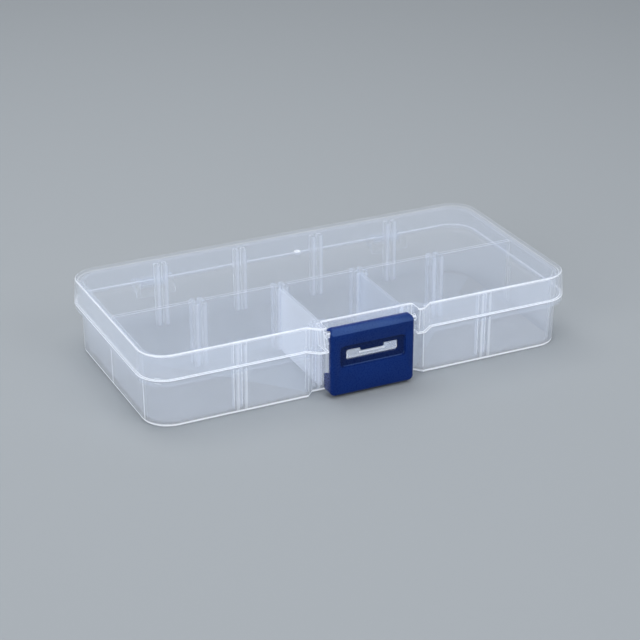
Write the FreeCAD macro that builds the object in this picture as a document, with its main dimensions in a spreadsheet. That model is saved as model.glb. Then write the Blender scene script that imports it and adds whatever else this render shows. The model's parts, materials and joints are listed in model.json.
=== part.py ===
import FreeCAD, Part
import math
import os
import types

import Sketcher

# A clear hinged storage box for small parts: a walled tray with divider slots, a lid hinged
# along the back, a coloured latch hung on the lid's front and two loose dividers.
# Millimetres. The origin is the middle of the tray's underside, +X runs along the box,
# +Y points to the hinge side and +Z is up. The latch is at the front, on -Y.

# Driving dimensions: name, value, what it measures.
SIZES = [
    ("lid_length", 128.0, "lid rim, left to right"),
    ("lid_depth", 63.0, "lid rim, front to back, without the ears"),
    ("box_height", 21.95, "table to the top of the closed lid"),
    ("corner_radius", 7.5, "upright corners of lid and tray"),
    ("lip_height", 14.65, "table to the lower lip of the closed lid"),
    ("lid_wall", 0.8, "thickness of the lid's sides and top"),
    ("lid_flare", 0.5, "how far the lid's lip stands out from its rim"),
    ("rim_round", 0.6, "rounding of the lid's top edge"),
    ("ear_reach", 2.5, "how far the ears stand out in front of the lid rim"),
    ("ear_slope", 3.2, "length of an ear's slanting face along X"),
    ("ear_tip", 1.9, "width of an ear's flat tip"),
    ("bay_half", 13.7, "half the gap between the ears"),
    ("bay_setback", 2.0, "how far the lid steps back behind the latch"),
    ("bay_round", 0.7, "rounding of the upright edges at the ears and the bay"),
    ("tray_inset", 1.35, "how far the tray's base stands in from the lid rim"),
    ("tray_lean", 0.3, "how far the tray walls lean out from base to top"),
    ("tray_wall", 1.1, "thickness of the tray's walls and floor"),
    ("base_round", 0.7, "rounding of the tray's bottom edge"),
    ("top_gap", 0.35, "air between the tray's top edge and the lid"),
    ("recess_beside", 1.8, "how far the set-back front wall runs on beside the bay"),
    ("recess_slant", 2.0, "length of the recess's slanting sides along X"),
    ("recess_setback", 2.2, "how far the middle of the front wall is set back"),
    ("flange_gap", 0.3, "air between the tray's flange and the lid's lip"),
    ("flange_thick", 1.4, "thickness of the tray's flange"),
    ("flange_inset", 0.3, "how far the flange stays inside the lid's lip"),
    ("centre_wall", 1.2, "thickness of the long centre wall"),
    ("centre_drop", 0.2, "how far the centre wall stays below the tray's top"),
    ("column_pitch", 24.7, "distance between two columns of divider slots"),
    ("slot_clearance", 0.1, "air at each side of a divider in its slot"),
    ("rib_width", 1.25, "width of a slot rib"),
    ("rib_stand", 1.6, "how far a rib stands out from its wall at the floor"),
    ("rib_drop", 0.4, "how far the ribs stay below the tray's top"),
    ("divider_thick", 0.9, "thickness of a loose divider"),
    ("divider_end_gap", 0.3, "air between a divider's end and the wall"),
    ("divider_drop", 0.8, "how far a divider stays below the tray's top"),
    ("latch_side_gap", 1.1, "air between the latch and each ear"),
    ("latch_bottom", 0.7, "table to the latch's lower edge"),
    ("latch_plate", 1.45, "thickness of the latch's front plate"),
    ("latch_corner", 1.5, "rounding of the latch's lower corners, seen from the front"),
    ("latch_axis_drop", 3.1, "lid's top to the latch's rod"),
    ("knuckle_radius", 1.8, "outside radius of the latch's knuckle"),
    ("rod_radius", 0.9, "radius of the latch's rod and of the hinge rods"),
    ("rod_clearance", 0.06, "running clearance round a rod, on the radius"),
    ("clip_mouth", 1.5, "width of the mouth that snaps over a rod"),
    ("cheek_thick", 1.3, "thickness of the latch's side walls"),
    ("cheek_depth", 4.6, "depth of the latch from its face to its cheeks' back"),
    ("cheek_rise", 6.85, "height of the cheeks at the front plate"),
    ("cheek_rear_rise", 4.95, "height of the cheeks at their back"),
    ("grip_thick", 1.4, "thickness of the finger grip under the latch"),
    ("window_half", 7.8, "half the width of the latch's window"),
    ("window_drop", 0.9, "lid's lip to the window's upper edge"),
    ("window_height", 3.0, "height of the latch's window"),
    ("dish_beside", 2.6, "width of the shallow dish at each side of the window"),
    ("dish_below", 1.8, "height of the dish below the window"),
    ("dish_above", 2.2, "height of the dish above the window"),
    ("dish_deep", 0.35, "depth of the dish"),
    ("nub_half", 3.45, "half the width of the nub above the catch"),
    ("nub_hang", 0.9, "how far the nub hangs into the window"),
    ("catch_clear", 0.3, "air round the catch in the window"),
    ("catch_inset", 0.8, "how far the catch's nose stays behind the latch's face"),
    ("catch_round", 0.7, "rounding of the catch's nose"),
    ("hinge_place", 38.0, "middle of a back hinge, from the middle of the box"),
    ("hinge_knuckle", 8.0, "width of the lid's hinge knuckle"),
    ("hinge_side_gap", 0.3, "air at each side of a hinge knuckle"),
    ("hinge_arm", 1.6, "thickness of a hinge arm on the tray"),
    ("hinge_behind", 2.0, "hinge axis behind the lid rim"),
    ("hinge_below_lip", 1.3, "hinge axis below the lid's lip"),
    ("hinge_round", 1.7, "outside radius of the hinge arms and knuckles"),
]


class Measure:
    """A number together with the sheet expression that gives it."""

    def __init__(self, text, number):
        self.text = text
        self.number = number

    def __add__(self, other):
        other = measure(other)
        return Measure(f"({self.text} + {other.text})", self.number + other.number)

    def __sub__(self, other):
        other = measure(other)
        return Measure(f"({self.text} - {other.text})", self.number - other.number)

    def __mul__(self, other):
        other = measure(other)
        return Measure(f"({self.text} * {other.text})", self.number * other.number)

    def __truediv__(self, other):
        other = measure(other)
        return Measure(f"({self.text} / {other.text})", self.number / other.number)

    def __neg__(self):
        return Measure(f"(0 - {self.text})", -self.number)


def measure(value):
    """A plain number as a Measure; a Measure stays as it is."""
    return value if isinstance(value, Measure) else Measure(str(value), float(value))


def angle_of(rise, run):
    """The angle of a slope, in degrees."""
    slope = rise / run
    return Measure(f"atan({slope.text})", math.degrees(math.atan(slope.number)))


def tangent_of_half(angle):
    """The tangent of half an angle: how far a mitred corner shifts for each unit of inset."""
    half = angle / 2
    return Measure(f"tan({half.text})", math.tan(math.radians(half.number)))


size = types.SimpleNamespace(**{
    name: Measure(f"Sizes.{name}", value) for name, value, meaning in SIZES
})

# Places worked out from the driving dimensions.
RIM_X = size.lid_length / 2
RIM_Y = size.lid_depth / 2
LID_SIDE_HEIGHT = size.box_height - size.lip_height
LID_TAPER = angle_of(size.lid_flare, LID_SIDE_HEIGHT)
LID_UNDERSIDE = size.box_height - size.lid_wall
TRAY_TOP = LID_UNDERSIDE - size.top_gap
TRAY_TAPER = angle_of(size.tray_lean, TRAY_TOP)
BASE_X = RIM_X - size.tray_inset
BASE_Y = RIM_Y - size.tray_inset
RECESS_X = size.bay_half + size.recess_beside
RECESS_Y = BASE_Y - size.recess_setback
RECESS_SHIFT = tangent_of_half(angle_of(size.recess_setback, size.recess_slant))
FLANGE_TOP = size.lip_height - size.flange_gap
FLANGE_STAND = size.lid_flare - size.flange_inset
LEAN_AT_FLANGE = size.tray_lean * FLANGE_TOP / TRAY_TOP
RIB_TOP = TRAY_TOP - size.rib_drop
RIB_ROOT = (size.tray_wall + size.tray_lean) / 2
SLOT_WIDTH = size.divider_thick + size.slot_clearance * 2
BAY_Y = RIM_Y - size.bay_setback
EAR_Y = RIM_Y + size.ear_reach
EAR_SHIFT = tangent_of_half(angle_of(size.ear_reach, size.ear_slope))
LATCH_SIDE = size.bay_half - size.latch_side_gap
LATCH_FACE = EAR_Y
LATCH_AXIS = LATCH_FACE - size.knuckle_radius
LATCH_AXIS_Z = size.box_height - size.latch_axis_drop
BORE_RADIUS = size.rod_radius + size.rod_clearance
CHEEK_REAR = LATCH_FACE - size.cheek_depth
CHEEK_TOP = size.latch_bottom + size.cheek_rise
CHEEK_REAR_TOP = size.latch_bottom + size.cheek_rear_rise
PLATE_REAR = LATCH_FACE - size.latch_plate
PLATE_MIDDLE = LATCH_FACE - size.latch_plate / 2
WINDOW_HIGH = size.lip_height - size.window_drop
WINDOW_LOW = WINDOW_HIGH - size.window_height
CATCH_NOSE = LATCH_FACE - size.catch_inset
HINGE_Y = RIM_Y + size.hinge_behind
HINGE_Z = size.lip_height - size.hinge_below_lip


def make_sheet(doc):
    """The spreadsheet that holds the driving dimensions as plain numbers."""
    sheet = doc.addObject("Spreadsheet::Sheet", "Sizes")
    for row, (name, value, meaning) in enumerate(SIZES, start=1):
        sheet.set(f"A{row}", meaning)
        sheet.set(f"B{row}", str(value))
        sheet.setAlias(f"B{row}", name)
    doc.recompute()
    return sheet


def new_body(doc, label):
    """An empty body whose label names its file."""
    body = doc.addObject("PartDesign::Body", label)
    body.Label = label
    body.Placement = FreeCAD.Placement()
    return body


def origin_item(body, role):
    """One of the body's own origin planes or axes."""
    return next(item for item in body.Origin.OriginFeatures if item.Role == role)


def bind(feature, place, value):
    """Bind a property or a constraint to a measure."""
    feature.setExpression(place, measure(value).text)


def new_sketch(body, name, plane, shift=0):
    """A sketch on an origin plane, moved along the plane's normal."""
    sketch = body.newObject("Sketcher::SketchObject", name)
    sketch.AttachmentSupport = [(origin_item(body, plane), "")]
    sketch.MapMode = "FlatFace"
    bind(sketch, "AttachmentOffset.Base.z", shift)
    return sketch


def pin_point(sketch, geometry, end, point):
    """Hold one end of a sketch's line or arc at a point."""
    for kind, value in zip(("DistanceX", "DistanceY"), point):
        datum = Sketcher.Constraint(kind, -1, 1, geometry, end, measure(value).number)
        number = sketch.addConstraint(datum)
        bind(sketch, f"Constraints[{number}]", value)


def hold_radius(sketch, geometry, radius):
    """Hold the radius of a circle or an arc."""
    number = sketch.addConstraint(Sketcher.Constraint("Radius", geometry, measure(radius).number))
    bind(sketch, f"Constraints[{number}]", radius)


def vector(point):
    """A point's numbers as a vector in the sketch."""
    return FreeCAD.Vector(measure(point[0]).number, measure(point[1]).number, 0)


def heading(start, end):
    """The direction, along X or Y, of an edge that runs along one of them."""
    step = vector(end) - vector(start)
    return (round(step.x / step.Length), round(step.y / step.Length))


def shifted(point, direction, distance):
    """A point moved along X or Y."""
    return tuple(
        measure(value) + measure(distance) * sign for value, sign in zip(point, direction)
    )


def draw_outline(sketch, corners):
    """A closed outline through corners; a corner's third value, if any, is its radius."""
    stretches = []
    for number, corner in enumerate(corners):
        point = corner[:2]
        if len(corner) == 2:
            stretches.append((point, point, None, None))
            continue
        before = heading(corners[number - 1][:2], point)
        after = heading(point, corners[(number + 1) % len(corners)][:2])
        first = shifted(point, before, -measure(corner[2]))
        centre = shifted(first, after, corner[2])
        last = shifted(point, after, corner[2])
        stretches.append((first, last, centre, corner[2]))

    lines = []
    for number, stretch in enumerate(stretches):
        start = stretches[number - 1][1]
        lines.append(sketch.addGeometry(Part.LineSegment(vector(start), vector(stretch[0]))))
    for number, (first, last, centre, radius) in enumerate(stretches):
        coming = lines[number]
        leaving = lines[(number + 1) % len(lines)]
        pin_point(sketch, leaving, 1, last)
        if radius is None:
            sketch.addConstraint(Sketcher.Constraint("Coincident", coming, 2, leaving, 1))
            continue
        pin_point(sketch, coming, 2, first)
        middle = vector(centre)
        start = vector(first) - middle
        end = vector(last) - middle
        turns_left = start.cross(end).z > 0
        circle = Part.Circle(middle, FreeCAD.Vector(0, 0, 1), start.Length)
        if not turns_left:
            start, end = end, start
        sweep = [math.atan2(side.y, side.x) for side in (start, end)]
        arc = sketch.addGeometry(Part.ArcOfCircle(circle, *sweep))
        ends = (1, 2) if turns_left else (2, 1)
        sketch.addConstraint(Sketcher.Constraint("Coincident", arc, ends[0], coming, 2))
        sketch.addConstraint(Sketcher.Constraint("Coincident", arc, ends[1], leaving, 1))
        hold_radius(sketch, arc, radius)


def draw_circle(sketch, centre, radius):
    """A circle held by its centre and its radius."""
    up = FreeCAD.Vector(0, 0, 1)
    circle = Part.Circle(vector(centre), up, measure(radius).number)
    geometry = sketch.addGeometry(circle)
    pin_point(sketch, geometry, 3, centre)
    hold_radius(sketch, geometry, radius)


def rectangle(low_x, low_y, high_x, high_y):
    """The four corners of a rectangle."""
    return [(low_x, low_y), (high_x, low_y), (high_x, high_y), (low_x, high_y)]


def mirrored_outline(right_half):
    """A whole outline from the corners of its right half, listed back to front."""
    left_half = [(-x, *rest) for x, *rest in reversed(right_half)]
    return right_half + left_half


def extrude(kind, body, sketch, length, taper=0, backwards=False, symmetric=False):
    """A pad or a pocket of a sketch."""
    feature = body.newObject(f"PartDesign::{kind}", f"{sketch.Name}_{kind.lower()}")
    feature.Profile = sketch
    feature.SideType = "Symmetric" if symmetric else "One side"
    feature.Reversed = backwards
    bind(feature, "Length", length)
    bind(feature, "TaperAngle", taper)
    body.Document.recompute()
    return feature


def pad(body, sketch, length, **options):
    """Material added from a sketch."""
    return extrude("Pad", body, sketch, length, **options)


def pocket(body, sketch, length, **options):
    """Material cut by a sketch; a pocket that cuts nothing is an error."""
    before = body.Shape.Volume
    feature = extrude("Pocket", body, sketch, length, **options)
    if body.Shape.Volume >= before:
        raise RuntimeError(f"{feature.Name} cuts nothing")
    return feature


def mirror(body, originals, name):
    """The same features on the other side of the box's middle plane."""
    feature = body.newObject("PartDesign::Mirrored", name)
    feature.Originals = originals
    feature.MirrorPlane = (origin_item(body, "YZ_Plane"), [""])
    body.Tip = feature
    body.Document.recompute()
    return feature


def repeat_along_x(body, originals, length, count, name):
    """Evenly spaced copies along the box, the last one at the given distance."""
    feature = body.newObject("PartDesign::LinearPattern", name)
    feature.Originals = originals
    feature.Direction = (origin_item(body, "X_Axis"), [""])
    bind(feature, "Length", length)
    feature.Occurrences = count
    body.Tip = feature
    body.Document.recompute()
    return feature


def round_edges(body, name, radius, wanted):
    """Fillet the edges of the body's present shape that a test picks."""
    base = body.Tip
    picked = [
        f"Edge{number}"
        for number, edge in enumerate(base.Shape.Edges, start=1)
        if wanted(edge)
    ]
    if not picked:
        raise RuntimeError(f"{name} finds no edge")
    feature = body.newObject("PartDesign::Fillet", name)
    feature.Base = (base, picked)
    bind(feature, "Radius", radius)
    body.Document.recompute()
    return feature


def is_steep(edge):
    """A straight edge that climbs more than it leans."""
    if len(edge.Vertexes) != 2:
        return False
    run = edge.Vertexes[1].Point - edge.Vertexes[0].Point
    is_straight = edge.Length - run.Length < 0.001
    return is_straight and abs(run.z) > 3 * max(abs(run.x), abs(run.y))


def lies_at(edge, axis, value):
    """Whether an edge lies wholly at one value of x, y or z."""
    return all(abs(getattr(end.Point, axis) - value) < 0.01 for end in edge.Vertexes)


def runs_along_x(edge, shortest):
    """Whether an edge spans at least a length along X."""
    return edge.BoundBox.XLength > shortest


def lid_outline(inset):
    """The lid's outline at its rim, with the latch bay and the two ears beside it."""
    shoulder = size.bay_half + size.ear_tip - EAR_SHIFT * inset
    ear_side = size.bay_half + inset
    radius = size.corner_radius - inset
    return mirrored_outline([
        (RIM_X - inset, RIM_Y - inset, radius),
        (RIM_X - inset, -(RIM_Y - inset), radius),
        (shoulder + size.ear_slope, -(RIM_Y - inset)),
        (shoulder, -(EAR_Y - inset)),
        (ear_side, -(EAR_Y - inset)),
        (ear_side, -(BAY_Y - inset)),
    ])


def tray_outline(inset):
    """The tray's outline at its base, set back in the middle of the front."""
    recess_x = RECESS_X + RECESS_SHIFT * inset
    radius = size.corner_radius - inset
    return mirrored_outline([
        (BASE_X - inset, BASE_Y - inset, radius),
        (BASE_X - inset, -(BASE_Y - inset), radius),
        (recess_x + size.recess_slant, -(BASE_Y - inset)),
        (recess_x, -(RECESS_Y - inset)),
    ])


def flange_outline():
    """The tray's flange, which follows the lid's lip and steps back behind the latch."""
    side = RIM_X + FLANGE_STAND
    front = RIM_Y + FLANGE_STAND
    return mirrored_outline([
        (side, front, size.corner_radius),
        (side, -front, size.corner_radius),
        (RECESS_X + size.recess_slant, -front),
        (RECESS_X, -(RECESS_Y + LEAN_AT_FLANGE + size.tray_wall)),
    ])


def make_tray(doc):
    """The tray: floor, leaning walls, centre wall, slot ribs, flange, catch, hinge arms."""
    body = new_body(doc, "tray")

    base = new_sketch(body, "tray_base", "XY_Plane")
    draw_outline(base, tray_outline(0))
    pad(body, base, TRAY_TOP, taper=TRAY_TAPER)

    flange = new_sketch(body, "tray_flange", "XY_Plane", FLANGE_TOP - size.flange_thick)
    draw_outline(flange, flange_outline())
    pad(body, flange, size.flange_thick)

    inside = new_sketch(body, "tray_inside", "XY_Plane", size.tray_wall)
    draw_outline(inside, tray_outline(size.tray_wall))
    depth = TRAY_TOP - size.tray_wall
    pocket(body, inside, depth, taper=TRAY_TAPER, backwards=True)

    middle = new_sketch(body, "centre_wall", "XY_Plane", size.tray_wall / 2)
    reach = BASE_X - size.tray_wall + RIB_ROOT
    half = size.centre_wall / 2
    draw_outline(middle, rectangle(-reach, -half, reach, half))
    pad(body, middle, TRAY_TOP - size.centre_drop - size.tray_wall / 2)

    add_slot_ribs(body)
    add_catch(body)
    add_hinge_arms(body)
    round_edges(body, "bottom_edge", size.base_round, lambda edge: lies_at(edge, "z", 0))
    return body


def add_slot_ribs(body):
    """Pairs of upright ribs that hold a divider between them, in rows along each wall."""
    outer_column = size.column_pitch * 1.5
    inner_column = size.column_pitch * 0.5
    wall_y = BASE_Y - size.tray_wall
    recess_y = RECESS_Y - size.tray_wall
    middle_y = size.centre_wall / 2 + size.rib_stand
    rows = [
        ("back_ribs", wall_y - size.rib_stand, wall_y + RIB_ROOT, outer_column, 4),
        ("centre_ribs", -middle_y, middle_y, outer_column, 4),
        ("front_ribs", -(wall_y + RIB_ROOT), size.rib_stand - wall_y, outer_column, 2),
        ("recess_ribs", -(recess_y + RIB_ROOT), size.rib_stand - recess_y, inner_column, 2),
    ]
    near = SLOT_WIDTH / 2
    far = near + size.rib_width
    for name, low, high, column, count in rows:
        sketch = new_sketch(body, name, "XY_Plane", size.tray_wall / 2)
        draw_outline(sketch, rectangle(-column - far, low, -column - near, high))
        draw_outline(sketch, rectangle(near - column, low, far - column, high))
        ribs = pad(body, sketch, RIB_TOP - size.tray_wall / 2)
        repeat_along_x(body, [ribs], column * 2, count, f"{name}_row")


def add_catch(body):
    """The catch on the set-back front wall, which stands in the latch's window."""
    low = WINDOW_LOW + size.catch_clear
    high = WINDOW_HIGH - size.catch_clear
    notch = high - size.nub_hang
    side = size.window_half - size.catch_clear
    dip = size.nub_half + size.catch_clear
    root = RECESS_Y - size.tray_wall / 2
    face = new_sketch(body, "catch", "XZ_Plane", root)
    draw_outline(face, [
        (-side, low), (side, low), (side, high), (dip, high),
        (dip, notch), (-dip, notch), (-dip, high), (-side, high),
    ])
    pad(body, face, CATCH_NOSE - root)
    round_edges(
        body, "catch_nose", size.catch_round,
        lambda edge: lies_at(edge, "y", -CATCH_NOSE.number) and runs_along_x(edge, 3.0),
    )


def hinge_slice(body, name, width):
    """A sketch across a back hinge, placed so that a pad of this width centres on it."""
    return new_sketch(body, name, "YZ_Plane", size.hinge_place - width / 2)


def add_hinge_arms(body):
    """Two pairs of arms behind the tray, each pair with a rod between its arms."""
    space = size.hinge_knuckle + size.hinge_side_gap * 2
    full = space + size.hinge_arm * 2
    rod_length = space + size.hinge_arm
    axis = (HINGE_Y, HINGE_Z)
    root = BASE_Y - size.tray_wall / 2
    low = HINGE_Z - size.hinge_round

    block = hinge_slice(body, "hinge_block", full)
    draw_outline(block, [
        (root, low - size.hinge_behind), (HINGE_Y, low), (HINGE_Y, FLANGE_TOP),
        (root, FLANGE_TOP),
    ])
    ends = hinge_slice(body, "hinge_ends", full)
    draw_circle(ends, axis, size.hinge_round)
    gap = hinge_slice(body, "hinge_gap", space)
    draw_outline(gap, rectangle(
        RIM_Y + FLANGE_STAND, low - size.hinge_behind,
        HINGE_Y + size.hinge_round * 2, FLANGE_TOP + size.hinge_round * 2,
    ))
    rod = hinge_slice(body, "hinge_rod", rod_length)
    draw_circle(rod, axis, size.rod_radius)
    steps = [
        pad(body, block, full),
        pad(body, ends, full),
        pocket(body, gap, space, backwards=True),
        pad(body, rod, rod_length),
    ]
    mirror(body, steps, "other_hinge")


def make_lid(doc):
    """The lid: a shallow shell with two ears, the latch rod and two hinge knuckles."""
    body = new_body(doc, "lid")

    rim = new_sketch(body, "lid_rim", "XY_Plane", size.box_height)
    draw_outline(rim, lid_outline(0))
    pad(body, rim, LID_SIDE_HEIGHT, taper=LID_TAPER, backwards=True)
    ear_end = (size.bay_half + size.ear_tip + size.ear_slope).number + 1.0
    round_edges(
        body, "ear_edges", size.bay_round,
        lambda edge: is_steep(edge) and abs(edge.CenterOfMass.x) < ear_end,
    )

    inside = new_sketch(body, "lid_inside", "XY_Plane", LID_UNDERSIDE)
    draw_outline(inside, lid_outline(size.lid_wall))
    pocket(body, inside, LID_UNDERSIDE - size.lip_height, taper=LID_TAPER)
    top = size.box_height.number
    round_edges(body, "rim_edge", size.rim_round, lambda edge: lies_at(edge, "z", top))

    rod = new_sketch(body, "latch_rod", "YZ_Plane")
    draw_circle(rod, (-LATCH_AXIS, LATCH_AXIS_Z), size.rod_radius)
    pad(body, rod, size.bay_half * 2 + size.lid_wall, symmetric=True)

    add_hinge_knuckles(body)
    return body


def add_hinge_knuckles(body):
    """Two open knuckles under the lid's back lip that snap over the tray's rods."""
    width = size.hinge_knuckle
    axis = (HINGE_Y, HINGE_Z)
    in_lip = RIM_Y + size.lid_flare - size.lid_wall / 2
    far = size.hinge_round * 2

    ring = hinge_slice(body, "knuckle_ring", width)
    draw_circle(ring, axis, size.hinge_round)
    web = hinge_slice(body, "knuckle_web", width)
    draw_outline(web, [
        (in_lip, size.lip_height), axis, (HINGE_Y, HINGE_Z + size.hinge_round),
        (in_lip, size.lip_height + size.lid_wall),
    ])
    bore = hinge_slice(body, "knuckle_bore", width)
    draw_circle(bore, axis, BORE_RADIUS)
    mouth = hinge_slice(body, "knuckle_mouth", width)
    draw_outline(mouth, rectangle(HINGE_Y, HINGE_Z - far, HINGE_Y + far, HINGE_Z))
    steps = [
        pad(body, ring, width),
        pad(body, web, width),
        pocket(body, bore, width, backwards=True),
        pocket(body, mouth, width, backwards=True),
    ]
    mirror(body, steps, "other_knuckle")


def make_latch(doc):
    """The latch: a plate with a window, hung from a clip over the lid's rod."""
    body = new_body(doc, "latch")
    side = LATCH_SIDE
    axis = (-LATCH_AXIS, LATCH_AXIS_Z)

    face = new_sketch(body, "latch_face", "XZ_Plane", LATCH_FACE)
    draw_outline(face, rectangle(-side, size.latch_bottom, side, LATCH_AXIS_Z))
    pad(body, face, size.latch_plate, backwards=True)

    knuckle = new_sketch(body, "latch_knuckle", "YZ_Plane")
    draw_circle(knuckle, axis, size.knuckle_radius)
    pad(body, knuckle, side * 2, symmetric=True)

    cheek = new_sketch(body, "cheek", "YZ_Plane", side - size.cheek_thick)
    draw_outline(cheek, [
        (-PLATE_MIDDLE, size.latch_bottom),
        (-CHEEK_REAR, size.latch_bottom),
        (-CHEEK_REAR, CHEEK_REAR_TOP),
        (-PLATE_REAR, CHEEK_TOP),
        (-PLATE_MIDDLE, CHEEK_TOP),
    ])
    cheek_pad = pad(body, cheek, size.cheek_thick)
    mirror(body, [cheek_pad], "other_cheek")

    grip = new_sketch(body, "grip", "XZ_Plane", PLATE_MIDDLE)
    grip_side = side - size.cheek_thick / 2
    draw_outline(grip, rectangle(
        -grip_side, size.latch_bottom, grip_side, size.latch_bottom + size.grip_thick,
    ))
    pad(body, grip, PLATE_MIDDLE - CHEEK_REAR, backwards=True)

    round_edges(
        body, "latch_corners", size.latch_corner,
        lambda edge: lies_at(edge, "z", size.latch_bottom.number)
        and abs(abs(edge.CenterOfMass.x) - side.number) < 0.01,
    )
    bore = new_sketch(body, "latch_bore", "YZ_Plane")
    draw_circle(bore, axis, BORE_RADIUS)
    pocket(body, bore, side * 2, symmetric=True)
    mouth = new_sketch(body, "latch_mouth", "YZ_Plane")
    draw_outline(mouth, rectangle(
        -LATCH_AXIS, LATCH_AXIS_Z - size.clip_mouth,
        size.knuckle_radius * 2 - LATCH_AXIS, LATCH_AXIS_Z,
    ))
    pocket(body, mouth, side * 2, symmetric=True)

    dish = new_sketch(body, "dish", "XZ_Plane", LATCH_FACE)
    dish_side = size.window_half + size.dish_beside
    dish_low = WINDOW_LOW - size.dish_below
    draw_outline(dish, rectangle(
        -dish_side, dish_low, dish_side, WINDOW_HIGH + size.dish_above,
    ))
    pocket(body, dish, size.dish_deep)

    window = new_sketch(body, "window", "XZ_Plane", LATCH_FACE)
    wide = size.window_half
    nub = size.nub_half
    nub_low = WINDOW_HIGH - size.nub_hang
    draw_outline(window, [
        (-wide, WINDOW_LOW), (wide, WINDOW_LOW), (wide, WINDOW_HIGH), (nub, WINDOW_HIGH),
        (nub, nub_low), (-nub, nub_low), (-nub, WINDOW_HIGH), (-wide, WINDOW_HIGH),
    ])
    pocket(body, window, size.latch_plate * 2)
    return body


def make_divider(doc, label, column):
    """A loose divider that stands in a slot of the front row, from wall to wall."""
    body = new_body(doc, label)
    sketch = new_sketch(body, f"{label}_side", "YZ_Plane", column)
    back = -(size.centre_wall / 2 + size.divider_end_gap)
    front = size.tray_wall + size.divider_end_gap - RECESS_Y
    top = TRAY_TOP - size.divider_drop
    lean = size.tray_lean * top / TRAY_TOP
    draw_outline(sketch, [
        (back, size.tray_wall), (front, size.tray_wall), (front - lean, top), (back, top),
    ])
    pad(body, sketch, size.divider_thick, symmetric=True)
    return body


def check_document(doc, bodies):
    """Stop before anything is written if an object failed or a piece isn't sound."""
    for item in doc.Objects:
        if "Invalid" in item.State or "Error" in item.State:
            raise RuntimeError(f"{item.Name} failed: {item.State}")
    for body in bodies:
        shape = body.Shape
        if shape.isNull() or not shape.isValid() or len(shape.Solids) != 1:
            raise RuntimeError(f"{body.Label} is not one sound solid")


def main():
    """Build the document, check it and write one file for each piece."""
    doc = FreeCAD.newDocument("parts_box")
    make_sheet(doc)
    column = size.column_pitch / 2
    bodies = [
        make_tray(doc),
        make_lid(doc),
        make_latch(doc),
        make_divider(doc, "divider_left", -column),
        make_divider(doc, "divider_right", column),
    ]
    doc.recompute()
    check_document(doc, bodies)
    os.makedirs("parts", exist_ok=True)
    for body in bodies:
        body.Shape.exportStep(os.path.join("parts", f"{body.Label}.step"))
        print(body.Label, round(body.Shape.Volume, 3), body.Shape.BoundBox)


main()
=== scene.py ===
import json
import math

import bmesh
import bpy
from mathutils import Euler, Matrix, Vector


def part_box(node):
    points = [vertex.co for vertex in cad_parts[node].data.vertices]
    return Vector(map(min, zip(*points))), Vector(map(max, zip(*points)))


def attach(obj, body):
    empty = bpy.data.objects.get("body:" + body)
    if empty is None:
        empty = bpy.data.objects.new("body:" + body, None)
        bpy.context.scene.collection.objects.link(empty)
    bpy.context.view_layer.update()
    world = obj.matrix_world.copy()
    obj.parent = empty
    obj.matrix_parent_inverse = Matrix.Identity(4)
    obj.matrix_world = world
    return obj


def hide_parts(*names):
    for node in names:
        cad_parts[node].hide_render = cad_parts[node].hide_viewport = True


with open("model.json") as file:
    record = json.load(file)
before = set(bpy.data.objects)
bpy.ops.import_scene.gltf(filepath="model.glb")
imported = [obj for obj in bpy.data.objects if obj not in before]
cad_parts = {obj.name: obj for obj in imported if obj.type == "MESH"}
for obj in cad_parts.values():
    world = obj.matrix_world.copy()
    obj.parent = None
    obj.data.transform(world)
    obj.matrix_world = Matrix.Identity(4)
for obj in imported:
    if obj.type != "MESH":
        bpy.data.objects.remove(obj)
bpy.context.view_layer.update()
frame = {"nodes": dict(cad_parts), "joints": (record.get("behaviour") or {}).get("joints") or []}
scene = bpy.context.scene
MM = 0.001

# Places and widths in the CAD model that the finishes follow, in millimetres.
SLOT_PITCH = 24.7
RIB_FROM_SLOT = 1.175
RIB_END_FROM_SLOT = 2.0
INSIDE_X = 60.6
INSIDE_Y = 28.9
SIDE_FACE_X = 62.2
LONG_FACE_Y = 30.3
CORNER_START_Y = 24.1
RECESS_FACE_Y = -28.05
RECESS_FACE_HALF = 15.4
RECESS_HALF = 16.5
RECESS_INSIDE_Y = -26.3
CATCH_HALF = 7.5
HINGE_PLACE_X = 38.0
HINGE_ZONE_HALF = 8.5

# Heights in the CAD model, in millimetres above the table.
BASE_ROUND = 0.7
FLOOR_TOP = 1.1
BELOW_FLANGE = 12.4
ABOVE_FLANGE = 14.6
LIP_LOW = 14.65
RIB_TOP = 20.4
CENTRE_WALL_TOP = 20.6
LID_TOP = 21.95

# Sizes of the latch, in millimetres.
PLATE_THICK = 1.45
BORE_RADIUS = 0.96
MOUTH_DEPTH = 3.6
BAND_CUT = 0.34
GRIP_THICK = 1.4
CHEEK_THICK = 1.3
CHEEK_RISE = 6.85
CHEEK_REAR_RISE = 4.95
WINDOW_HALF = 7.8
WINDOW_LOW = 10.75
WINDOW_HIGH = 13.75
DISH_HALF = WINDOW_HALF + 2.1
DISH_LOW = WINDOW_LOW - 1.8
DISH_HIGH = WINDOW_HIGH + 1.6
DISH_DEEP = 0.65
NUB_HALF = 3.45
NUB_HANG = 0.9

BLACK = (0.0, 0.0, 0.0)
WHITE = (1.0, 1.0, 1.0, 1.0)


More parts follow.
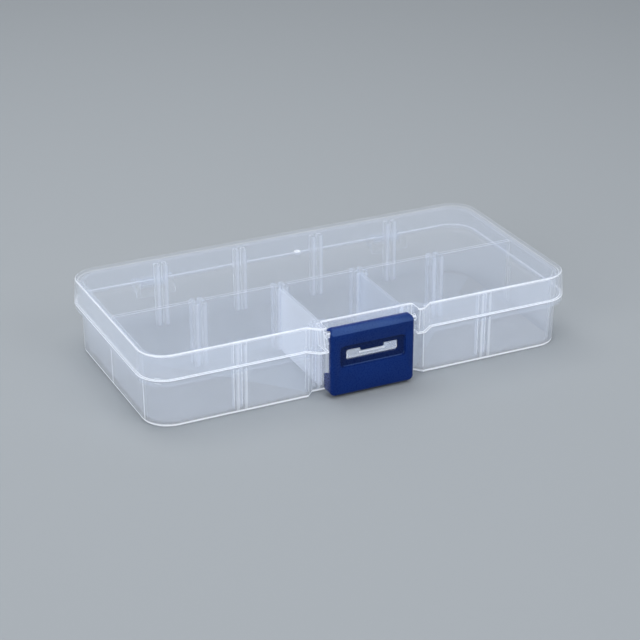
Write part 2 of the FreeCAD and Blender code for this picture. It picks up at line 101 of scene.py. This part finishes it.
class Signal:
    """One node's output, on which sums and products are written as on numbers."""

    def __init__(self, finish, socket):
        self.finish = finish
        self.socket = socket

    def math(self, operation, first, second=0.0, clamp=False):
        return self.finish.add(
            "Math", {0: first, 1: second}, operation=operation, use_clamp=clamp)

    def __add__(self, other):
        return self.math("ADD", self, other)

    def __sub__(self, other):
        return self.math("SUBTRACT", self, other)

    def __rsub__(self, other):
        return self.math("SUBTRACT", other, self)

    def __mul__(self, other):
        return self.math("MULTIPLY", self, other)

    def __pow__(self, other):
        return self.math("POWER", self, other)

    def __abs__(self):
        return self.math("ABSOLUTE", self)

    __radd__ = __add__
    __rmul__ = __mul__

    def clamped(self):
        return self.math("ADD", self, 0.0, clamp=True)

    def ramp(self, low, high, at_low, at_high):
        """Goes from one value to another between two places, and stays level beyond them."""
        return self.finish.add("MapRange", {0: self, 1: low, 2: high, 3: at_low, 4: at_high})

    def above(self, place, fade):
        """0 up to a place, and 1 beyond a soft step there."""
        return self.ramp(place, place + fade, 0.0, 1.0)

    def below(self, place, fade):
        """1 up to a place, and 0 beyond a soft step there."""
        return self.ramp(place, place + fade, 1.0, 0.0)


def line(distance, half, fade):
    """1 within half a line's width of its middle, in millimetres, and 0 beyond its soft side."""
    return abs(distance).below(half, fade)


class Finish:
    """A material being made, with one way to add any node to it."""

    def __init__(self, name):
        self.material = bpy.data.materials.new(name)
        self.material.use_nodes = True
        self.tree = self.material.node_tree
        self.tree.nodes.clear()
        self.place = self.add("TexCoord", output="Object")

    def add(self, kind, inputs=None, output=0, **settings):
        """A node of any type, with its settings, then the values or links of its sockets."""
        node = self.tree.nodes.new(f"ShaderNode{kind}")
        for name, value in settings.items():
            setattr(node, name, value)
        for name, value in (inputs or {}).items():
            if isinstance(value, Signal):
                self.tree.links.new(value.socket, node.inputs[name])
            else:
                node.inputs[name].default_value = value
        return Signal(self, node.outputs[output])

    def part(self, vector, axis):
        """One of the three numbers of a vector."""
        return self.add("SeparateXYZ", {0: vector}, output=axis)

    def place_mm(self, axis):
        """How far a point lies along one axis, in millimetres."""
        return self.part(self.place, axis) * (1.0 / MM)

    def mix_colour(self, share, first, second):
        """The first colour where share is 0 and the second where it is 1."""
        first, second = (
            colour if isinstance(colour, Signal) else (*colour, 1.0)
            for colour in (first, second))
        return self.add("Mix", {0: share, 6: first, 7: second}, output=2, data_type="RGBA")

    def mix_shader(self, share, first, second):
        return self.add("MixShader", {0: share, 1: first, 2: second})

    def noise(self, grain_mm, detail=2.0):
        """A cloudy pattern from 0 to 1 whose lumps are about grain_mm across."""
        return self.add("TexNoise", {
            "Vector": self.place, "Scale": 1.0 / (grain_mm * MM), "Detail": detail,
        })

    def bump(self, height, strength):
        """A fine unevenness of the surface, a fiftieth of a millimetre deep."""
        return self.add("Bump", {
            "Strength": strength, "Distance": 0.02 * MM, "Height": height,
        })

    def done(self, shader):
        """Closes the material with its surface shader."""
        node = self.tree.nodes.new("ShaderNodeOutputMaterial")
        self.tree.links.new(shader.socket, node.inputs["Surface"])
        return self.material


class Clear(Finish):
    """Milky clear plastic: scatters light to both sides, with a painted white highlight and a
    painted glow on its edges and outer walls.
    """

    HINGE_DIMMING = 0.85
    LEVEL_TINT = (0.5, 0.66, 1.0)
    EDGE_HIGHLIGHT_TINT = (0.93, 0.95, 1.0)
    CONTACT_SHADOW_TINT = (0.03, 0.035, 0.04)
    PAINTED_GLOW_COLOUR = (0.87, 0.88, 0.9)
    GLOW_TINT = (0.82, 0.89, 0.98, 1.0)
    THROUGH_TINT = (0.986, 0.992, 1.0, 1.0)

    def __init__(self, name):
        super().__init__(name)
        self.x, self.y, self.z = (self.place_mm(axis) for axis in "XYZ")
        normal = self.add("TexCoord", output="Normal")
        self.upward = self.part(normal, "Z")
        self.flatness = self.upward * self.upward
        self.outward = self.dot(normal, self.place).above(1.0 * MM, 7.0 * MM)

    def dot(self, first, second):
        return self.add("VectorMath", {0: first, 1: second}, output="Value",
                        operation="DOT_PRODUCT")

    def sharp_edges(self):
        """1 along every sharp edge and 0 away from it, from normals blended across the edge."""
        rounded = self.add("Bevel", {"Radius": 0.5 * MM}, samples=8)
        straight = self.add("NewGeometry", output="Normal")
        return ((1.0 - self.dot(rounded, straight)) * 9.0).clamped()

    def roundings(self):
        """1 on the small roundings of the rim and the base that are seen from outside, found by
        how steeply they face, for the painted highlight there.
        """
        return self.flatness * (1.0 - self.flatness) * 4.0 * self.outward

    def hinges(self):
        """1 at the two hinges, whose edges stay as clear as their walls."""
        below_lip = self.y.above(30.4, 0.3) * self.z.below(14.5, 0.1)
        behind_lip = self.y.above(31.9, 0.2)
        across = line(abs(self.x) - HINGE_PLACE_X, HINGE_ZONE_HALF, 0.3)
        return (below_lip + behind_lip).clamped() * across

    def dimmed_at_hinges(self, edge):
        return edge * (1.0 - self.hinges() * self.HINGE_DIMMING)

    def finished(self, edge, wall_tint, haze, wall_haze, edge_haze, contact_shadow=None):
        """Closes the material, with a painted white highlight and a painted glow where edge is 1
        and a haze elsewhere.
        """
        facing = self.add("LayerWeight", {"Blend": 0.5}, output="Facing")
        upright = (1.0 - self.flatness) * (self.outward * 0.6 + 0.4)
        # Inner faces take half of the painted edge highlight.
        edge = edge * (self.outward * 0.5 + 0.5)
        milk = (facing * 0.4 + 1.0) * (self.noise(26.0) * 0.6 + 0.7)
        milk = milk * (upright * (wall_haze - haze) + haze)
        cover = milk + edge * edge_haze * (1.0 - milk)
        # Painted glow: edges and outer walls emit light though they are no lamp, less on faces
        # that look up.
        painted_glow = edge * 0.45 + upright * self.outward * 0.45
        painted_glow = (painted_glow * (1.0 - self.upward.clamped() * 0.8)).clamped()
        # Level faces are painted a darker, bluer tint than upright faces, a painted difference
        # in light by facing.
        plastic = self.mix_colour(self.flatness, wall_tint, self.LEVEL_TINT)
        # Edges are painted near white, a painted highlight.
        plastic = self.mix_colour(edge, plastic, self.EDGE_HIGHLIGHT_TINT)
        glow_share = 0.5
        if contact_shadow is not None:
            # Painted contact shadow: where the moulding meets the table it is painted dark, with
            # no translucent glow and no painted glow.
            cover = cover + contact_shadow * 0.8 * (1.0 - cover)
            painted_glow = painted_glow * (1.0 - contact_shadow)
            glow_share = (1.0 - contact_shadow) * glow_share
            plastic = self.mix_colour(contact_shadow, plastic, self.CONTACT_SHADOW_TINT)
        bump = self.bump(self.noise(0.5, detail=3.0), 0.12)
        lit = self.add("BsdfPrincipled", {
            "Base Color": plastic,
            "Roughness": 0.6,
            "Specular IOR Level": 0.0,
            "Emission Color": self.mix_colour(painted_glow, BLACK, self.PAINTED_GLOW_COLOUR),
            "Emission Strength": 1.0,
            "Normal": bump,
        })
        glow = self.add("BsdfTranslucent", {"Color": self.GLOW_TINT})
        scatter = self.mix_shader(glow_share, lit, glow)
        clear = self.add("BsdfTransparent", {"Color": self.THROUGH_TINT})
        wall = self.mix_shader(cover, clear, scatter)
        shine = self.add("BsdfAnisotropic", {"Color": WHITE, "Roughness": 0.3, "Normal": bump})
        mirror_share = facing ** 5.0 * 0.9 + 0.03
        return self.done(self.mix_shader(mirror_share, wall, shine))


def tray_plastic():
    """Painted highlights: the ribs read as soft bright bands, the base as one white line, and
    bright lines run down the side walls.
    """
    clear = Clear("tray_plastic")
    x, y, z = clear.x, clear.y, clear.z
    within = abs(y).below(INSIDE_Y, 0.3) * abs(x).below(INSIDE_X, 0.3)
    under = (1.0 - clear.flatness) * clear.outward

    # The slots' middles lie at half a pitch and at one and a half pitches to each side.
    from_slot = abs(abs(abs(x) - SLOT_PITCH) - SLOT_PITCH / 2)
    from_rib = from_slot - RIB_FROM_SLOT
    ribs = within * z.above(FLOOR_TOP + 0.1, 0.2) * from_slot.below(RIB_END_FROM_SLOT, 0.3)
    # Painted highlight bands along the ribs' edges, and fainter ones on the outer faces.
    rib_highlight_bands = ribs * line(from_rib, 0.35, 0.45) * (1.0 - clear.outward) * 0.85
    long_faces = line(abs(y) - LONG_FACE_Y, 0.35, 0.05)
    recess_face = line(y - RECESS_FACE_Y, 0.35, 0.05) * line(x, RECESS_FACE_HALF, 0.1)
    beside_ribs = z.above(BASE_ROUND + 0.2, 0.2) * z.below(RIB_TOP - 0.4, 0.4)
    outer_faces = (long_faces + recess_face) * beside_ribs
    rib_highlight_bands = rib_highlight_bands + outer_faces * line(from_rib, 0.25, 0.4) * clear.outward * 0.32

    # A painted contact shadow along the lowest part of the base rounding.
    contact_shadow = z.below(BASE_ROUND / 2, 0.15) * under
    # The base's white line is a painted highlight.
    base = z.below(BASE_ROUND + 0.05, 0.35) * z.above(BASE_ROUND / 2, 0.15) * under
    # Painted highlight lines down the side walls, at the middle and where the corners start to
    # round.
    side_wall = abs(x).above(SIDE_FACE_X, 0.2) * z.below(BELOW_FLANGE, 0.3)
    corner = line(abs(y) - CORNER_START_Y, 0.1, 0.25) * clear.outward
    side_wall_highlights = side_wall * (line(y, 0.35, 0.3) * 0.4 + corner * 0.6)

    recess = line(x, RECESS_HALF, 1.0) * y.below(RECESS_INSIDE_Y, 0.4)
    beside_catch = recess * (1.0 - line(x, CATCH_HALF + 1.0, 0.3))
    above_floor = z.ramp(FLOOR_TOP + 0.5, FLOOR_TOP + 1.1, 0.1, 1.0)
    rim = z.ramp(CENTRE_WALL_TOP + 0.02, CENTRE_WALL_TOP + 0.1, 1.0, 0.4)
    # Sharp edges take the painted highlight, less on ribs, beside the catch, near the floor and
    # at the rim.
    sharp = clear.sharp_edges() * (1.0 - ribs * 0.9) * above_floor
    sharp = sharp * (1.0 - beside_catch * 0.7) * rim
    flange = z.above(BELOW_FLANGE, 0.3) * z.below(ABOVE_FLANGE, 0.3) * (1.0 - within)
    edge = (sharp + clear.roundings()) * (1.0 - flange * 0.9)
    edge = (edge + rib_highlight_bands + base + side_wall_highlights).clamped()
    return clear.finished(
        clear.dimmed_at_hinges(edge), wall_tint=(0.66, 0.73, 0.9),
        haze=0.035, wall_haze=0.155, edge_haze=0.75, contact_shadow=contact_shadow)


def lid_plastic():
    """The lip is painted as one white line round the lid, a painted highlight, and the gate mark
    as a painted white glint.
    """
    clear = Clear("lid_plastic")
    lip_highlight = clear.z.below(LIP_LOW + 0.1, 0.2)
    sharp = clear.sharp_edges() * clear.z.ramp(LIP_LOW + 0.55, LIP_LOW + 1.35, 0.2, 1.0)
    # The gate mark is painted white, a painted glint.
    gate_mark = clear.z.ramp(LID_TOP + 0.02, LID_TOP + 0.1, 0.0, 0.9)
    edge = (sharp + clear.roundings() + lip_highlight + gate_mark).clamped()
    return clear.finished(
        clear.dimmed_at_hinges(edge), wall_tint=(0.68, 0.73, 0.84),
        haze=0.025, wall_haze=0.125, edge_haze=0.75)


def divider_plastic():
    """Loose thin plates, milkier than the shells and most so on the right, where the extra haze
    is painted light against the shade of the left plate, with soft painted edge highlights.
    """
    clear = Clear("divider_plastic")
    # Haze rises to the right as painted light, lifting the right plate out of the shade that the
    # left one casts.
    brighter_right_haze = clear.x.ramp(-12.0, 12.0, 0.45, 0.66)
    return clear.finished(
        clear.sharp_edges() * 0.4, wall_tint=(0.66, 0.72, 0.86),
        haze=0.06, wall_haze=brighter_right_haze, edge_haze=0.6)


def blue_plastic(name):
    """Deep navy moulded plastic with a faint mottle, a fine bloom and a dish painted darker as
    shade in its recess.
    """
    finish = Finish(name)
    cloud = finish.noise(7.0, detail=3.0)
    grain = finish.noise(0.35, detail=4.0)
    # The dish around the window is painted darker, painted shade in its recess.
    inset = 0.5
    across = line(finish.place_mm("X"), DISH_HALF - inset, 0.6)
    middle = (DISH_LOW + DISH_HIGH) / 2
    upright = line(finish.place_mm("Z") - middle, DISH_HIGH - middle - inset, 0.6)
    navy = finish.mix_colour(cloud, (0.001, 0.012, 0.105), (0.003, 0.022, 0.155))
    return finish.done(finish.add("BsdfPrincipled", {
        "Base Color": finish.mix_colour(across * upright * 0.75, navy, (0.001, 0.003, 0.04)),
        "Roughness": 0.28 + (grain - 0.5) * 0.12,
        "IOR": 1.42,
        "Specular Tint": (0.38, 0.65, 1.0, 1.0),
        "Normal": finish.bump(grain, 0.3),
    }))


def floor_finish():
    """The plain pale grey floor."""
    finish = Finish("floor")
    return finish.done(finish.add("BsdfPrincipled", {
        "Base Color": (0.262, 0.285, 0.308, 1.0), "Roughness": 0.75,
    }))


def paint(piece, material):
    piece.data.materials.clear()
    piece.data.materials.append(material)


def apply_place():
    """Moves the new piece's place, turn and size into its mesh, and gives the piece."""
    bpy.ops.object.transform_apply(location=True, rotation=True, scale=True)
    return bpy.context.object


def add_block(low, high):
    """A block between two corners, in millimetres."""
    low = Vector(low) * MM
    high = Vector(high) * MM
    bpy.ops.mesh.primitive_cube_add(size=1.0, location=(low + high) / 2, scale=high - low)
    return apply_place()


def add_rod(centre, radius, length, sides=48):
    """A round rod along X, in millimetres."""
    bpy.ops.mesh.primitive_cylinder_add(
        vertices=sides, radius=radius * MM, depth=length * MM,
        location=Vector(centre) * MM, rotation=(0, math.pi / 2, 0))
    return apply_place()


def start_edit(piece, mode, action="DESELECT"):
    """Opens a piece for editing with nothing selected, or with all of it."""
    bpy.context.view_layer.objects.active = piece
    bpy.ops.object.mode_set(mode="EDIT")
    bpy.ops.mesh.select_mode(type=mode)
    bpy.ops.mesh.select_all(action=action)
    return bmesh.from_edit_mesh(piece.data)


def round_edges(piece, radius, steps, wanted):
    """Rounds the edges whose two ends, in millimetres, pass a test."""
    mesh = start_edit(piece, "EDGE")
    for edge in mesh.edges:
        edge.select_set(wanted(edge.verts[0].co / MM, edge.verts[1].co / MM))
    bmesh.update_edit_mesh(piece.data)
    bpy.ops.mesh.bevel(offset=radius * MM, segments=steps, profile=0.5, affect="EDGES")
    bpy.ops.object.mode_set(mode="OBJECT")


def cut_flat(piece, point, normal):
    """Cuts away what lies beyond a plane, in millimetres, and closes the cut."""
    start_edit(piece, "FACE", "SELECT")
    bpy.ops.mesh.bisect(
        plane_co=Vector(point) * MM, plane_no=normal, use_fill=True, clear_outer=True,
        threshold=0.0001 * MM)
    bpy.ops.object.mode_set(mode="OBJECT")


def combine(piece, operation, other):
    """Joins, cuts or trims a piece by another, which is used up."""
    bpy.context.view_layer.objects.active = piece
    change = piece.modifiers.new(operation.lower(), "BOOLEAN")
    change.operation = operation
    change.solver = "EXACT"
    change.object = other
    bpy.ops.object.modifier_apply(modifier=change.name)
    bpy.data.objects.remove(other)


def soften_edges(piece, width):
    """Breaks every sharp edge of a finished moulding with a small rounding."""
    start_edit(piece, "EDGE", "SELECT")
    bpy.ops.mesh.remove_doubles(threshold=0.02 * MM)
    bpy.ops.mesh.dissolve_limited(angle_limit=math.radians(1.0))
    bpy.ops.object.mode_set(mode="OBJECT")
    soft = piece.modifiers.new("soft_edges", "BEVEL")
    soft.width = width * MM
    soft.segments = 2
    soft.limit_method = "ANGLE"
    soft.angle_limit = math.radians(28.0)
    soft.use_clamp_overlap = False
    bpy.ops.object.modifier_apply(modifier=soft.name)
    # Two roundings that meet at a point leave slivers without area, which this merge closes.
    start_edit(piece, "VERT", "SELECT")
    bpy.ops.mesh.remove_doubles(threshold=0.002 * MM)
    bpy.ops.object.mode_set(mode="OBJECT")
    bpy.ops.object.select_all(action="DESELECT")
    piece.select_set(True)
    bpy.ops.object.shade_smooth_by_angle(angle=math.radians(35.0))
    piece.select_set(False)


def runs_in_depth(first, second):
    """Whether an edge runs straight from front to back."""
    return abs((second - first).normalized().y) > 0.99


def lies_in_face(place):
    """A test for edges that lie in an upright plane facing the front."""
    return lambda first, second: max(abs(first.y - place), abs(second.y - place)) < 0.01


def latch_axis():
    """A point on the latch's joint axis, in millimetres."""
    joint = next(joint for joint in frame["joints"] if joint["name"] == "latch_hinge")
    return Vector(joint["pos_m"]) / MM


def latch_form(low, high):
    """The block that the latch is trimmed to, with the roundings seen from the front."""
    form = add_block(low, high)
    middle = (low.z + high.z) / 2
    round_edges(form, 2.0, 8, lambda a, b: runs_in_depth(a, b) and a.z > middle)
    round_edges(form, 1.5, 6, lambda a, b: runs_in_depth(a, b) and a.z < middle)
    round_edges(form, 0.8, 5, lies_in_face(low.y))
    return form


def add_latch_clip(latch, axis, reach, radius):
    """The round clip along the top, flattened to a sloping band that meets the face."""
    combine(latch, "UNION", add_rod(axis, radius, reach * 2))
    slope = Vector((0, -0.83, 0.56)).normalized()
    cut_flat(latch, axis + slope * (radius - BAND_CUT), slope)


def add_latch_foot(latch, low, high, reach, plate_rear):
    """The finger grip below and the two cheeks, and the wedge that will slope their tops."""
    bottom = low.z - 1.0
    front = plate_rear - 0.5
    rear = high.y + 1.0
    cheek_top = low.z + CHEEK_RISE
    cheek_rear_top = low.z + CHEEK_REAR_RISE
    grip = add_block((-reach, front, bottom), (reach, rear, low.z + GRIP_THICK))
    combine(latch, "UNION", grip)
    for left, right in ((-reach, CHEEK_THICK - high.x), (high.x - CHEEK_THICK, reach)):
        combine(latch, "UNION", add_block((left, front, bottom), (right, rear, cheek_top)))
    wedge = add_block((-reach, plate_rear, cheek_rear_top), (reach, rear, cheek_top + 1.0))
    mesh = start_edit(wedge, "VERT")
    for corner in mesh.verts:
        place = corner.co / MM
        corner.select_set(place.z < cheek_top and place.y < plate_rear + 0.1)
    bmesh.update_edit_mesh(wedge.data)
    bpy.ops.transform.translate(value=(0, 0, (cheek_top - cheek_rear_top) * MM))
    bpy.ops.object.mode_set(mode="OBJECT")
    return wedge


def cut_latch_window(latch, face, plate_rear):
    """A shallow soft-sided dish, the window in it and the nub that grips the catch."""
    front = face - 1.0
    floor = face + DISH_DEEP
    dish = add_block((-DISH_HALF, front, DISH_LOW), (DISH_HALF, floor, DISH_HIGH))
    round_edges(dish, 1.5, 6, runs_in_depth)
    round_edges(dish, 0.5, 5, lies_in_face(floor))
    combine(latch, "DIFFERENCE", dish)
    window = add_block(
        (-WINDOW_HALF, front, WINDOW_LOW), (WINDOW_HALF, plate_rear + 1.0, WINDOW_HIGH))
    round_edges(window, 0.7, 5, runs_in_depth)
    combine(latch, "DIFFERENCE", window)
    nub = add_block(
        (-NUB_HALF, floor, WINDOW_HIGH - NUB_HANG), (NUB_HALF, plate_rear, WINDOW_HIGH + 0.5))
    round_edges(nub, 0.35, 3, lambda a, b: runs_in_depth(a, b) and a.z < WINDOW_HIGH)
    combine(latch, "UNION", nub)


def model_latch():
    """The latch: plate with window and dish, clip over the rod, two cheeks and a grip."""
    low, high = (Vector(corner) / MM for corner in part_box("latch"))
    axis = latch_axis()
    reach = high.x + 1.0
    plate_rear = low.y + PLATE_THICK
    latch = add_block((-reach, low.y, low.z - 1.0), (reach, plate_rear, axis.z))
    latch.name = "latch_moulding"
    add_latch_clip(latch, axis, reach, high.z - axis.z)
    wedge = add_latch_foot(latch, low, high, reach, plate_rear)
    combine(latch, "INTERSECT", latch_form(low, high))
    combine(latch, "DIFFERENCE", wedge)
    combine(latch, "DIFFERENCE", add_rod(axis, BORE_RADIUS, reach * 2))
    mouth = add_block((-reach, axis.y, axis.z - 2.0), (reach, axis.y + MOUTH_DEPTH, axis.z))
    combine(latch, "DIFFERENCE", mouth)
    cut_latch_window(latch, low.y, plate_rear)
    soften_edges(latch, 0.04)
    return latch


def model_gate_mark():
    """The small dimpled stub that the moulding's inlet leaves on the lid's top."""
    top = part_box("lid")[1].z / MM
    bpy.ops.mesh.primitive_cylinder_add(
        vertices=32, radius=1.0 * MM, depth=0.6 * MM,
        location=Vector((0.5, 16.0, top + 0.05)) * MM)
    mark = apply_place()
    mark.name = "lid_gate_mark"
    round_edges(mark, 0.2, 3, lambda a, b: min(a.z, b.z) > top)
    mesh = start_edit(mark, "FACE")
    for face in mesh.faces:
        face.select_set(face.normal.z > 0.99)
    bmesh.update_edit_mesh(mark.data)
    bpy.ops.mesh.inset(thickness=0.3 * MM, depth=-0.15 * MM)
    bpy.ops.object.mode_set(mode="OBJECT")
    return mark


def make_camera():
    """The camera of the photograph, found from the box's straight edges."""
    turn = math.radians(25.34)
    drop = math.radians(25.05)
    roll = math.radians(-0.13)
    bpy.ops.object.camera_add(location=(-0.2142, -0.4527, 0.24115))
    camera = bpy.context.object
    camera.name = "camera"
    camera.data.lens = 108.8
    camera.data.sensor_width = 36.0
    camera.data.clip_start = 0.01
    camera.data.clip_end = 20.0
    look = Euler((math.pi / 2 - drop, 0, -turn)).to_matrix() @ Matrix.Rotation(roll, 3, "Z")
    camera.rotation_euler = look.to_euler()
    scene.camera = camera


def add_lamp(name, place, width, length, power):
    """A soft rectangular lamp turned towards the box."""
    bpy.ops.object.light_add(type="AREA", location=place)
    lamp = bpy.context.object
    lamp.name = name
    lamp.data.shape = "RECTANGLE"
    lamp.data.size = width
    lamp.data.size_y = length
    lamp.data.energy = power
    lamp.rotation_euler = (-Vector(place)).to_track_quat("-Z", "Y").to_euler()


def make_stage():
    """A wide floor, a soft sky and four large soft lamps."""
    bpy.ops.mesh.primitive_plane_add(size=6.0, location=(0, 0, 0))
    floor = bpy.context.object
    floor.name = "floor"
    paint(floor, floor_finish())

    world = bpy.data.worlds.new("studio")
    world.use_nodes = True
    sky = world.node_tree.nodes["Background"]
    sky.inputs["Color"].default_value = (0.92, 0.96, 1.0, 1.0)
    sky.inputs["Strength"].default_value = 0.31
    scene.world = world

    add_lamp("lamp_over", (-0.05, 0.1, 0.6), 0.35, 0.7, 3.4)
    add_lamp("lamp_left", (-0.95, -0.55, 0.5), 0.7, 0.7, 7.1)
    add_lamp("lamp_front", (0.33, -0.66, 0.6), 0.5, 0.5, 3.3)
    add_lamp("lamp_back", (0.5, 1.1, 0.55), 1.0, 1.0, 1.4)


bpy.ops.object.select_all(action="DESELECT")
scene.view_settings.view_transform = "Standard"
scene.cycles.transparent_max_bounces = 40
make_camera()
make_stage()

lid_finish = lid_plastic()
divider_finish = divider_plastic()
nodes = frame["nodes"]
paint(nodes["tray"], tray_plastic())
paint(nodes["lid"], lid_finish)
paint(nodes["divider_left"], divider_finish)
paint(nodes["divider_right"], divider_finish)

latch = model_latch()
paint(latch, blue_plastic("latch_plastic"))
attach(latch, "latch")
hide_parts("latch")

gate_mark = model_gate_mark()
paint(gate_mark, lid_finish)
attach(gate_mark, "lid")
